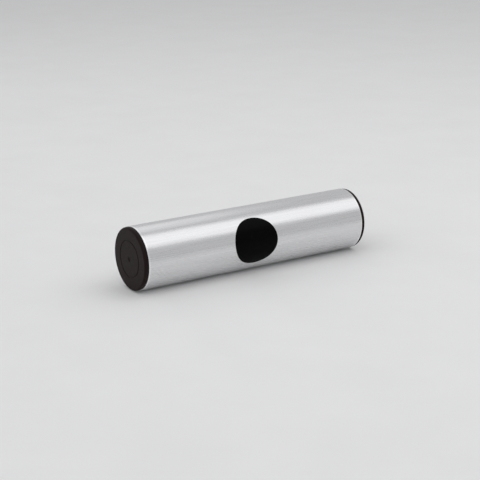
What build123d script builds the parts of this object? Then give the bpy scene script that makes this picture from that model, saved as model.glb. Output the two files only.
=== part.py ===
from build123d import *

import math
import os

# Ganza shaker: an aluminium tube lying along X, closed at both ends by moulded push-fit caps.
# A round film badge is stuck on its front, and loose steel shot lies in the bottom of the bore.
# The origin is on the tube's axis at mid-length, +Z is up and -Y faces the player. Millimetres.

# Tube
TUBE_LENGTH = 200.0
TUBE_DIAMETER = 50.0
TUBE_WALL = 1.5
TUBE_EDGE_BREAK = 0.4  # chamfer left by deburring

# End caps
FLANGE_THICKNESS = 3.4
FLANGE_SETBACK = 0.4  # how far the flange's rim stands inside the tube's outer wall
FLANGE_EDGE_ROUND = 1.6
FLANGE_EDGE_FACETS = 3  # flats that the rounding of the rim is made of
FACE_WALL = 2.2  # what is left between the outer face and the floor of the cup
PLUG_DEPTH = 12.0
PLUG_WALL = 1.8
PLUG_LEAD_IN = 1.0
CUP_CORNER_BREAK = 1.2
CRUSH_RIB_COUNT = 12
CRUSH_RIB_WIDTH = 1.2
CRUSH_RIB_HEIGHT = 0.5  # how far a rib stands out from the plug
PUSH_FIT_CLEARANCE = 0.05  # between the ribs and the bore

# Badge
BADGE_DIAMETER = 39.5
BADGE_THICKNESS = 0.08
BADGE_PLACE = -3.8  # along the tube from mid-length
BADGE_LIFT = 9.0  # degrees that its middle faces upwards
BADGE_RIM_POINTS = 32

# Steel shot
SHOT_DIAMETER = 5.0  # across the flats of a faceted ball
SHOT_CLEARANCE = 0.3
BED_LENGTH = 76.0  # foot of the heap
REPOSE_ANGLE = 28.0  # slope of the heap's ends
SHOT_LAYERS = ("shot_wall_layer", "shot_middle_layer", "shot_top_layer")

TUBE_END = TUBE_LENGTH / 2
TUBE_RADIUS = TUBE_DIAMETER / 2
BORE_RADIUS = TUBE_RADIUS - TUBE_WALL

FLANGE_RADIUS = TUBE_RADIUS - FLANGE_SETBACK
RIB_RADIUS = BORE_RADIUS - PUSH_FIT_CLEARANCE
PLUG_RADIUS = RIB_RADIUS - CRUSH_RIB_HEIGHT
CUP_RADIUS = PLUG_RADIUS - PLUG_WALL
CAP_FACE = TUBE_END + FLANGE_THICKNESS
PLUG_END = TUBE_END - PLUG_DEPTH

# A ball is a cube with its edges cut back to 26 faces, all equally far from its middle.
# Balls in a lane and in the layer above it meet flat to flat, and in the next lane slant to slant.
SHOT_RADIUS = SHOT_DIAMETER / 2
SHOT_FLAT = SHOT_RADIUS * math.tan(math.pi / 8)  # half the width of a face
SHOT_PITCH = SHOT_DIAMETER + SHOT_CLEARANCE
LANE_PITCH = SHOT_PITCH * (math.sqrt(2) - 0.5)
WALL_LAYER_RADIUS = math.sqrt((BORE_RADIUS - SHOT_CLEARANCE) ** 2 - SHOT_FLAT**2) - SHOT_RADIUS
TOP_LAYER_RADIUS = WALL_LAYER_RADIUS - (len(SHOT_LAYERS) - 1) * SHOT_PITCH


def bar(radius, start, end):
    """A round bar along X, with the seam of its wall on top."""
    upright = Cylinder(radius, end - start, align=(Align.CENTER, Align.CENTER, Align.MIN))
    return Pos(X=end) * Rot(Y=-90) * upright


def rim_at(shape, place):
    """The circular edges of a turned shape, from its low-X end (0) to its high-X end (-1)."""
    return shape.edges().filter_by(GeomType.CIRCLE).sort_by(Axis.X)[place]


def tube():
    """Drawn tube with both ends sawn square and deburred."""
    pipe = bar(TUBE_RADIUS, -TUBE_END, TUBE_END) - bar(BORE_RADIUS, -TUBE_END, TUBE_END)
    return chamfer(pipe.edges().filter_by(GeomType.CIRCLE), min(TUBE_EDGE_BREAK, 0.45 * TUBE_WALL))


def crush_ribs():
    """Ribs along the plug that grip the bore, cut to the radius that the bore leaves them."""
    root = PLUG_RADIUS - PLUG_WALL / 2
    size = (PLUG_DEPTH - PLUG_LEAD_IN, CRUSH_RIB_WIDTH, TUBE_RADIUS - root)
    fin = Box(*size, align=(Align.MAX, Align.CENTER, Align.MIN))
    rib = Pos(X=TUBE_END, Z=root) * fin & bar(RIB_RADIUS, PLUG_END, TUBE_END)
    return [Rot(X=360 * n / CRUSH_RIB_COUNT) * rib for n in range(CRUSH_RIB_COUNT)]


def flange():
    """Turned disc that covers the tube's end, its outer rim rounded in a few flats."""
    rounding = min(FLANGE_EDGE_ROUND, 0.9 * FLANGE_THICKNESS)
    outline = [(TUBE_END, 0), (TUBE_END, FLANGE_RADIUS)]
    for n in range(FLANGE_EDGE_FACETS + 1):
        turn = math.pi / 2 * n / FLANGE_EDGE_FACETS
        along = CAP_FACE - rounding * (1 - math.sin(turn))
        outline.append((along, FLANGE_RADIUS - rounding * (1 - math.cos(turn))))
    outline.append((CAP_FACE, 0))
    return revolve(make_face(Polyline(*outline, close=True)), Axis.X)


def end_cap():
    """Cap for the +X end: a flange that shoulders on the tube and a hollow plug with crush ribs."""
    plug = bar(PLUG_RADIUS, PLUG_END, TUBE_END)
    plug = chamfer(rim_at(plug, 0), min(PLUG_LEAD_IN, 0.8 * PLUG_WALL))
    cup = bar(CUP_RADIUS, PLUG_END, CAP_FACE - FACE_WALL)
    cup = chamfer(rim_at(cup, -1), CUP_CORNER_BREAK)
    return flange() + plug + crush_ribs() - cup


def badge():
    """Film disc, cut round while flat and rolled on to the tube, so its height shortens by the wrap."""
    radius = BADGE_DIAMETER / 2
    rim = []
    for n in range(BADGE_RIM_POINTS):
        turn = 2 * math.pi * n / BADGE_RIM_POINTS
        wrap = radius * math.sin(turn) / TUBE_RADIUS
        rim.append((radius * math.cos(turn), TUBE_RADIUS * math.sin(wrap)))
    lift = math.radians(BADGE_LIFT)
    outward = (0, -math.cos(lift), math.sin(lift))
    face_on = Plane(origin=(BADGE_PLACE, 0, 0), x_dir=(1, 0, 0), z_dir=outward)
    cutter = extrude(face_on * make_face(Spline(rim, periodic=True)), TUBE_DIAMETER)
    film = bar(TUBE_RADIUS + BADGE_THICKNESS, -TUBE_END, TUBE_END) - bar(TUBE_RADIUS, -TUBE_END, TUBE_END)
    return cutter & film


def ball():
    """One ball of shot, as a faceted solid."""
    cube = Box(SHOT_DIAMETER, SHOT_DIAMETER, SHOT_DIAMETER)
    return chamfer(cube.edges(), SHOT_RADIUS - SHOT_FLAT)


def lane_places(height, staggered):
    """Places along X of the balls in one lane: fewer higher up, where the heap's ends slope in."""
    rise = height + WALL_LAYER_RADIUS
    half_run = BED_LENGTH / 2 - SHOT_RADIUS - rise / math.tan(math.radians(REPOSE_ANGLE))
    if staggered:
        count = max(1, math.floor(half_run / SHOT_PITCH + 0.5))
        return [SHOT_PITCH * (n + 0.5) for n in range(-count, count)]
    count = max(0, math.floor(half_run / SHOT_PITCH))
    return [SHOT_PITCH * n for n in range(-count, count + 1)]


def shot_layer(depth):
    """One curved layer of the bed, depth layers in from the wall, as balls in staggered lanes."""
    radius = WALL_LAYER_RADIUS - depth * SHOT_PITCH
    step = 2 * math.asin(LANE_PITCH / 2 / (radius - SHOT_FLAT))
    lanes = math.floor(math.acos(TOP_LAYER_RADIUS / radius) / step)
    one = ball()
    balls = []
    for lane in range(-lanes, lanes + 1):
        angle = lane * step
        hang = Rot(X=math.degrees(angle)) * Pos(Z=-radius)
        for place in lane_places(-radius * math.cos(angle), lane % 2 == 1):
            balls.append(Pos(X=place) * hang * one)
    return Compound(children=balls)


right_cap = end_cap()
nodes = {
    "tube": tube(),
    "left_end_cap": Rot(Z=180) * right_cap,
    "right_end_cap": right_cap,
    "badge": badge(),
}
for depth, name in enumerate(SHOT_LAYERS):
    layer = shot_layer(depth)
    nodes[name] = layer
    travel = PLUG_END - SHOT_CLEARANCE - layer.bounding_box().max.X
    print(f"{name}: {len(layer.solids())} balls, slides {travel:.2f} mm each way")

os.makedirs("parts", exist_ok=True)
for name, shape in nodes.items():
    export_step(shape, f"parts/{name}.step")
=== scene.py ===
import math

import bmesh
import bpy
from mathutils import Matrix, Vector


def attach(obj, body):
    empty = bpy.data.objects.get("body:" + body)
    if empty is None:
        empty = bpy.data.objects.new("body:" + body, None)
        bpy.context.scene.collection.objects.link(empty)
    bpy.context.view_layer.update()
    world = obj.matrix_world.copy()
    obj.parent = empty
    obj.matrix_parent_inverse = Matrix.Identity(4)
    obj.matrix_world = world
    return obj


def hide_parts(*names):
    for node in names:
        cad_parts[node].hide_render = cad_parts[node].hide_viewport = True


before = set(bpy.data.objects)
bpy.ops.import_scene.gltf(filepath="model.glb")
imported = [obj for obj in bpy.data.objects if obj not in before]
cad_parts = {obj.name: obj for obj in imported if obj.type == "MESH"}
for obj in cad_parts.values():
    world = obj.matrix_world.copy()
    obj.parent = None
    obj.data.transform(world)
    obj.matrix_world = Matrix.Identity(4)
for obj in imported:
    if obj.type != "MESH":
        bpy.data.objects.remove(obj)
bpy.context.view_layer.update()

# Tube: drawn aluminium, 50 mm across and 200 mm long with a 1.5 mm wall.
# It is sawn square and brushed lengthwise to a satin finish, and the wheel that deburrs it rounds its
# edges and leaves a bright band at each end. The caps and the badge are fixed to it.
TUBE_END = 0.1  # from the tube's middle
TUBE_RADIUS = 0.025
TUBE_WALL = 0.0015
BORE_RADIUS = TUBE_RADIUS - TUBE_WALL
TUBE_EDGE_ROUND = 0.0004
BRIGHT_BAND = 0.0012  # from the tube's end
TURN_STEPS = 240  # flats round a turned piece
SHARP_CORNER = math.radians(35)  # a corner sharper than this isn't smoothed
SAME_POINT = 1e-6  # points nearer to each other than this are one
NOISE_LOW = 0.3  # most values of a noise texture lie from here
NOISE_HIGH = 0.7  # to here


def turned(outline, steps=TURN_STEPS):
    """A shape turned about X from the (along, radius) points of half its section."""
    shape = bmesh.new()
    points = [shape.verts.new((along, 0, radius)) for along, radius in outline]
    lines = [shape.edges.new(pair) for pair in zip(points, points[1:])]
    bmesh.ops.spin(
        shape,
        geom=points + lines,
        cent=(0, 0, 0),
        axis=(1, 0, 0),
        angle=math.tau,
        steps=steps,
        use_merge=True,
    )
    bmesh.ops.remove_doubles(shape, verts=shape.verts, dist=SAME_POINT)
    bmesh.ops.recalc_face_normals(shape, faces=shape.faces)
    return shape


def round_rim(shape, along, radius, size, segments):
    """Rounds the circular edge of a turned shape at that place and radius, by that size."""

    def on_rim(vert):
        return max(abs(vert.co.x - along), abs(vert.co.yz.length - radius)) < SAME_POINT

    bmesh.ops.bevel(
        shape,
        geom=[edge for edge in shape.edges if all(on_rim(vert) for vert in edge.verts)],
        offset=size,
        offset_type="OFFSET",
        segments=segments,
        profile=0.5,
        affect="EDGES",
        material=-1,
    )


def smooth_piece(name, shape, finish):
    """An object of that shape and finish, smooth but for its sharp corners."""
    mesh = bpy.data.meshes.new(name)
    shape.to_mesh(mesh)
    shape.free()
    mesh.shade_smooth()
    mesh.set_sharp_from_angle(angle=SHARP_CORNER)
    mesh.materials.append(finish)
    piece = bpy.data.objects.new(name, mesh)
    bpy.context.collection.objects.link(piece)
    return piece


def new_finish(name):
    """A new node material with its node tree and its shader."""
    finish = bpy.data.materials.new(name)
    finish.use_nodes = True
    return finish, finish.node_tree, finish.node_tree.nodes["Principled BSDF"]


def grain(tree, size, stretch=(1, 1, 1), detail=2.0):
    """Noise from 0 to 1 on the object's own coordinates, with grains of that size in metres."""
    place = tree.nodes.new("ShaderNodeTexCoord")
    mapping = tree.nodes.new("ShaderNodeMapping")
    mapping.inputs["Scale"].default_value = [1 / (size * factor) for factor in stretch]
    noise = tree.nodes.new("ShaderNodeTexNoise")
    noise.inputs["Scale"].default_value = 1.0
    noise.inputs["Detail"].default_value = detail
    tree.links.new(place.outputs["Object"], mapping.inputs["Vector"])
    tree.links.new(mapping.outputs["Vector"], noise.inputs["Vector"])
    return noise.outputs["Fac"]


def spread(tree, noise, target, low, high):
    """Feeds a number from low to high to a socket, by the middle of the noise's range."""
    span = tree.nodes.new("ShaderNodeMapRange")
    span.inputs["From Min"].default_value = NOISE_LOW
    span.inputs["From Max"].default_value = NOISE_HIGH
    span.inputs["To Min"].default_value = low
    span.inputs["To Max"].default_value = high
    tree.links.new(noise, span.inputs["Value"])
    tree.links.new(span.outputs["Result"], target)


def tint(tree, noise, target, dark, pale):
    """Feeds a colour between dark and pale to a socket, by the middle of the noise's range."""
    ramp = tree.nodes.new("ShaderNodeValToRGB")
    ramp.color_ramp.elements[0].position = NOISE_LOW
    ramp.color_ramp.elements[1].position = NOISE_HIGH
    ramp.color_ramp.elements[0].color = (*dark, 1)
    ramp.color_ramp.elements[1].color = (*pale, 1)
    tree.links.new(noise, ramp.inputs["Fac"])
    tree.links.new(ramp.outputs["Color"], target)


def relief(tree, noise, target, depth):
    """Feeds a bump of that depth in metres to a normal socket."""
    bump = tree.nodes.new("ShaderNodeBump")
    bump.inputs["Strength"].default_value = 1.0
    bump.inputs["Distance"].default_value = depth
    tree.links.new(noise, bump.inputs["Height"])
    tree.links.new(bump.outputs["Normal"], target)


brushed, tree, shader = new_finish("brushed_aluminium")
shader.inputs["Metallic"].default_value = 1.0
streaks = grain(tree, size=0.0006, stretch=(60, 1, 1), detail=4.0)
tint(tree, streaks, shader.inputs["Base Color"], dark=(0.71, 0.71, 0.72), pale=(0.77, 0.77, 0.78))
broad_streaks = grain(tree, size=0.0011, stretch=(40, 1, 1), detail=3.0)
spread(tree, broad_streaks, shader.inputs["Roughness"], low=0.24, high=0.32)
relief(tree, streaks, shader.inputs["Normal"], depth=0.000008)

bright, tree, shader = new_finish("bright_cut_aluminium")
shader.inputs["Metallic"].default_value = 1.0
scuffs = grain(tree, size=0.0004)
tint(tree, scuffs, shader.inputs["Base Color"], dark=(0.82, 0.82, 0.83), pale=(0.9, 0.9, 0.91))
spread(tree, grain(tree, size=0.0003), shader.inputs["Roughness"], low=0.2, high=0.32)

wall = turned(
    [
        (-TUBE_END, TUBE_RADIUS),
        (TUBE_END, TUBE_RADIUS),
        (TUBE_END, BORE_RADIUS),
        (-TUBE_END, BORE_RADIUS),
        (-TUBE_END, TUBE_RADIUS),
    ]
)
for end in (-TUBE_END, TUBE_END):
    for radius in (TUBE_RADIUS, BORE_RADIUS):
        round_rim(wall, end, radius, TUBE_EDGE_ROUND, segments=3)
    bmesh.ops.bisect_plane(
        wall,
        geom=wall.verts[:] + wall.edges[:] + wall.faces[:],
        plane_co=(math.copysign(TUBE_END - BRIGHT_BAND, end), 0, 0),
        plane_no=(1, 0, 0),
    )
for face in wall.faces:
    if abs(face.calc_center_median().x) > TUBE_END - BRIGHT_BAND:
        face.material_index = 1
tube = smooth_piece("tube_wall", wall, brushed)
tube.data.materials.append(bright)
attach(tube, "tube")
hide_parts("tube")

# End caps: the same black plastic moulding at both ends, pushed in until its flange meets the tube.
# A hollow plug with twelve crush ribs grips the bore. The flange's rim is rounded, and its flat face
# has a shallow sunk ring round the dimple that the moulding gate leaves.
FLANGE_SETBACK = 0.0004  # lets the tube's bright edge show round the flange
FLANGE_RADIUS = TUBE_RADIUS - FLANGE_SETBACK
FLANGE_THICKNESS = 0.0034
FLANGE_RIM_ROUND = 0.0016
FLANGE_BACK_ROUND = 0.0002
CAP_FACE = TUBE_END + FLANGE_THICKNESS
SUPPORT_GAP = 0.0003  # from the rim's rounding to the loop that keeps the face inside it evenly shaded
RING_RADIUS = 0.0145
RING_HALF_WIDTH = 0.0003
RING_DEPTH = 0.00035
GATE_RADIUS = 0.0014
GATE_DEPTH = 0.0005
RIB_COUNT = 12
RIB_WIDTH = 0.0012
RIB_HEIGHT = 0.0005
RIB_STOP = 0.0005  # from the ribs' ends to the flange
RIB_END = TUBE_END - RIB_STOP
PUSH_FIT_CLEARANCE = 0.00005  # between the ribs and the bore
RIB_RADIUS = BORE_RADIUS - PUSH_FIT_CLEARANCE
PLUG_RADIUS = RIB_RADIUS - RIB_HEIGHT
PLUG_DEPTH = 0.012
PLUG_END = TUBE_END - PLUG_DEPTH
PLUG_LEAD_IN = 0.001
PLUG_WALL = 0.0018
CUP_RADIUS = PLUG_RADIUS - PLUG_WALL
CUP_MOUTH_ROUND = 0.0003
CUP_CORNER_ROUND = 0.0012
FACE_WALL = 0.0022
CUP_FLOOR = CAP_FACE - FACE_WALL

moulded, tree, shader = new_finish("black_moulded_plastic")
shader.inputs["Specular IOR Level"].default_value = 0.112
mottle = grain(tree, size=0.004, detail=4.0)
tint(
    tree,
    mottle,
    shader.inputs["Base Color"],
    dark=(0.0095, 0.0044, 0.0039),
    pale=(0.0127, 0.006, 0.0055),
)
spread(tree, grain(tree, size=0.0012, detail=3.0), shader.inputs["Roughness"], low=0.44, high=0.56)
relief(tree, grain(tree, size=0.00035), shader.inputs["Normal"], depth=0.000012)


def moulded_cap():
    """The cap of the +X end."""
    shape = turned(
        [
            (CAP_FACE - GATE_DEPTH, 0),
            (CAP_FACE - GATE_DEPTH, GATE_RADIUS),
            (CAP_FACE, GATE_RADIUS + GATE_DEPTH),
            (CAP_FACE, RING_RADIUS - RING_HALF_WIDTH - RING_DEPTH),
            (CAP_FACE - RING_DEPTH, RING_RADIUS - RING_HALF_WIDTH),
            (CAP_FACE - RING_DEPTH, RING_RADIUS + RING_HALF_WIDTH),
            (CAP_FACE, RING_RADIUS + RING_HALF_WIDTH + RING_DEPTH),
            (CAP_FACE, FLANGE_RADIUS - FLANGE_RIM_ROUND - SUPPORT_GAP),
            (CAP_FACE, FLANGE_RADIUS),
            (TUBE_END, FLANGE_RADIUS),
            (TUBE_END, PLUG_RADIUS),
            (RIB_END, PLUG_RADIUS),
            (PLUG_END, PLUG_RADIUS),
            (PLUG_END, CUP_RADIUS),
            (CUP_FLOOR, CUP_RADIUS),
            (CUP_FLOOR, 0),
        ]
    )
    round_rim(shape, CAP_FACE, FLANGE_RADIUS, FLANGE_RIM_ROUND, segments=8)
    round_rim(shape, TUBE_END, FLANGE_RADIUS, FLANGE_BACK_ROUND, segments=2)
    round_rim(shape, PLUG_END, PLUG_RADIUS, PLUG_LEAD_IN, segments=2)
    round_rim(shape, PLUG_END, CUP_RADIUS, CUP_MOUTH_ROUND, segments=2)
    round_rim(shape, CUP_FLOOR, CUP_RADIUS, CUP_CORNER_ROUND, segments=4)
    pitch = math.tau / RIB_COUNT
    half_rib = RIB_WIDTH / PLUG_RADIUS / 2
    ribs = []
    for face in shape.faces:
        middle = face.calc_center_median()
        in_ribbed_stretch = PLUG_END + PLUG_LEAD_IN < middle.x < RIB_END
        on_outer_wall = middle.yz.length > (CUP_RADIUS + PLUG_RADIUS) / 2
        off_rib = (math.atan2(middle.y, middle.z) + pitch / 2) % pitch - pitch / 2
        if in_ribbed_stretch and on_outer_wall and abs(off_rib) < half_rib:
            ribs.append(face)
    made = bmesh.ops.extrude_face_region(shape, geom=ribs)["geom"]
    bmesh.ops.delete(shape, geom=ribs, context="FACES")
    crests = [item for item in made if isinstance(item, bmesh.types.BMVert)]
    lift = RIB_RADIUS / PLUG_RADIUS
    bmesh.ops.scale(shape, vec=(1, lift, lift), verts=crests)
    return shape


for side, turn in (("left", math.pi), ("right", 0.0)):
    shape = moulded_cap()
    bmesh.ops.rotate(shape, cent=(0, 0, 0), matrix=Matrix.Rotation(turn, 3, "Z"), verts=shape.verts)
    cap = smooth_piece(f"{side}_moulded_cap", shape, moulded)
    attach(cap, f"{side}_cap")
    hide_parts(f"{side}_end_cap")

# Badge: a round of black film, die-cut flat at 39.5 mm and stuck round the front of the tube.
# It is bare, with the satin face and the fine pull marks of cast vinyl.
BADGE_RADIUS = 0.01975
BADGE_THICKNESS = 0.00008
BADGE_PLACE = -0.0038  # along the tube from its middle
BADGE_LIFT = math.radians(9.0)  # that its middle faces upwards
BADGE_RINGS = 20
BADGE_STEPS = 96

film, tree, shader = new_finish("black_film")
shader.inputs["Specular IOR Level"].default_value = 0.045
clouds = grain(tree, size=0.003, detail=3.0)
tint(
    tree,
    clouds,
    shader.inputs["Base Color"],
    dark=(0.0004, 0.0004, 0.00045),
    pale=(0.0009, 0.0009, 0.001),
)
pull_marks = grain(tree, size=0.002, stretch=(6, 1, 1))
spread(tree, pull_marks, shader.inputs["Roughness"], low=0.28, high=0.38)
relief(tree, grain(tree, size=0.0007), shader.inputs["Normal"], depth=0.000004)

disc = turned([(0, BADGE_RADIUS * ring / BADGE_RINGS) for ring in range(BADGE_RINGS + 1)], BADGE_STEPS)
for vert in disc.verts:
    angle = BADGE_LIFT + vert.co.y / TUBE_RADIUS
    around = Vector((0, -math.cos(angle), math.sin(angle))) * (TUBE_RADIUS + BADGE_THICKNESS)
    vert.co = Vector((BADGE_PLACE + vert.co.z, 0, 0)) + around
bmesh.ops.recalc_face_normals(disc, faces=disc.faces)
bmesh.ops.solidify(disc, geom=disc.faces[:], thickness=BADGE_THICKNESS)
badge = smooth_piece("film_badge", disc, film)
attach(badge, "tube")
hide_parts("badge")

# Shot: 141 loose balls of polished steel, 5 mm across, lying as a heap in the bottom of the bore.
# Each layer of the heap is one piece, because it runs along the tube as one body.
SHOT_RADIUS = 0.0025
SHOT_SUBDIVISIONS = 2  # of an icosphere, which gives 80 faces

steel, tree, shader = new_finish("polished_steel")
shader.inputs["Metallic"].default_value = 1.0
smudges = grain(tree, size=0.0015, detail=3.0)
tint(tree, smudges, shader.inputs["Base Color"], dark=(0.5, 0.51, 0.53), pale=(0.62, 0.63, 0.65))
spread(tree, grain(tree, size=0.0008), shader.inputs["Roughness"], low=0.14, high=0.26)


def ball_middles(node):
    """The middle of each ball in a layer of the frame, where every ball is an island of its mesh."""
    merged = bmesh.new()
    merged.from_mesh(node.data)
    bmesh.ops.remove_doubles(merged, verts=merged.verts, dist=SAME_POINT)
    middles = []
    reached = set()
    for first in merged.verts:
        if first in reached:
            continue
        reached.add(first)
        ball = [first]
        for vert in ball:  # which grows until all the neighbours are in it
            for edge in vert.link_edges:
                other = edge.other_vert(vert)
                if other not in reached:
                    reached.add(other)
                    ball.append(other)
        middles.append(sum((vert.co for vert in ball), Vector()) / len(ball))
    merged.free()
    return middles


for layer in ("wall", "middle", "top"):
    heap = bmesh.new()
    for middle in ball_middles(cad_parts[f"shot_{layer}_layer"]):
        bmesh.ops.create_icosphere(
            heap,
            subdivisions=SHOT_SUBDIVISIONS,
            radius=SHOT_RADIUS,
            matrix=Matrix.Translation(middle),
        )
    shot = smooth_piece(f"steel_shot_{layer}", heap, steel)
    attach(shot, f"shot_{layer}")
    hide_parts(f"shot_{layer}_layer")

# Floor: a plain flat board, painted pale, that the shaker lies on.
# It isn't part of the object.
FLOOR_HALF_WIDTH = 30.0

paint, tree, shader = new_finish("pale_board")
shader.inputs["Roughness"].default_value = 0.8
shader.inputs["Specular IOR Level"].default_value = 0.1
unevenness = grain(tree, size=0.05, detail=3.0)
tint(tree, unevenness, shader.inputs["Base Color"], dark=(0.85, 0.85, 0.85), pale=(0.87, 0.87, 0.87))

board = bmesh.new()
bmesh.ops.create_grid(
    board,
    x_segments=1,
    y_segments=1,
    size=FLOOR_HALF_WIDTH,
    matrix=Matrix.Translation((0, 0, -TUBE_RADIUS)),
)
floor = smooth_piece("studio_floor", board, paint)

# Light: an even pale room, a long softbox above and in front of the tube, a weaker one behind it,
# and a soft light at the left that reaches the face of the near cap.
room = bpy.data.worlds.new("pale_room")
bpy.context.scene.world = room
room.use_nodes = True
sky = room.node_tree.nodes["Background"]
sky.inputs["Color"].default_value = (0.985, 0.99, 1.0, 1)
sky.inputs["Strength"].default_value = 0.58

for name, place, lean_degrees, size, watts in (
    ("front_softbox", (0.55, -0.34, 0.94), (20, 0, 0), (1.8, 0.9), 3.15),
    ("rear_softbox", (-0.1, 0.77, 0.92), (-40, 0, 0), (1.6, 0.8), 1.5),
    ("left_softbox", (-1.5, -0.6, 1.35), (18, -46, 0), (1.3, 2.4), 5.7),
):
    light = bpy.data.lights.new(name, "AREA")
    light.shape = "RECTANGLE"
    light.size, light.size_y = size
    light.energy = watts
    lamp = bpy.data.objects.new(name, light)
    lamp.location = place
    lamp.rotation_euler = [math.radians(angle) for angle in lean_degrees]
    lamp.visible_camera = False
    bpy.context.collection.objects.link(lamp)

# Camera: a long lens that looks from the left and a little above the tube.
# Its place and focal length are fitted to the tube and the near cap in the photograph.
EYE = Vector((-0.5532, -0.85033, 0.31608))
AIM = Vector((-0.00285, 0.00107, -0.00206))
FOCAL_LENGTH = 99.84  # millimetres, as the sensor's width is
SENSOR_WIDTH = 36.0

lens = bpy.data.cameras.new("view")
lens.lens = FOCAL_LENGTH
lens.sensor_width = SENSOR_WIDTH
camera = bpy.data.objects.new("view", lens)
camera.location = EYE
camera.rotation_euler = (AIM - EYE).to_track_quat("-Z", "Y").to_euler()
bpy.context.collection.objects.link(camera)
bpy.context.scene.camera = camera
bpy.context.scene.view_settings.view_transform = "Standard"
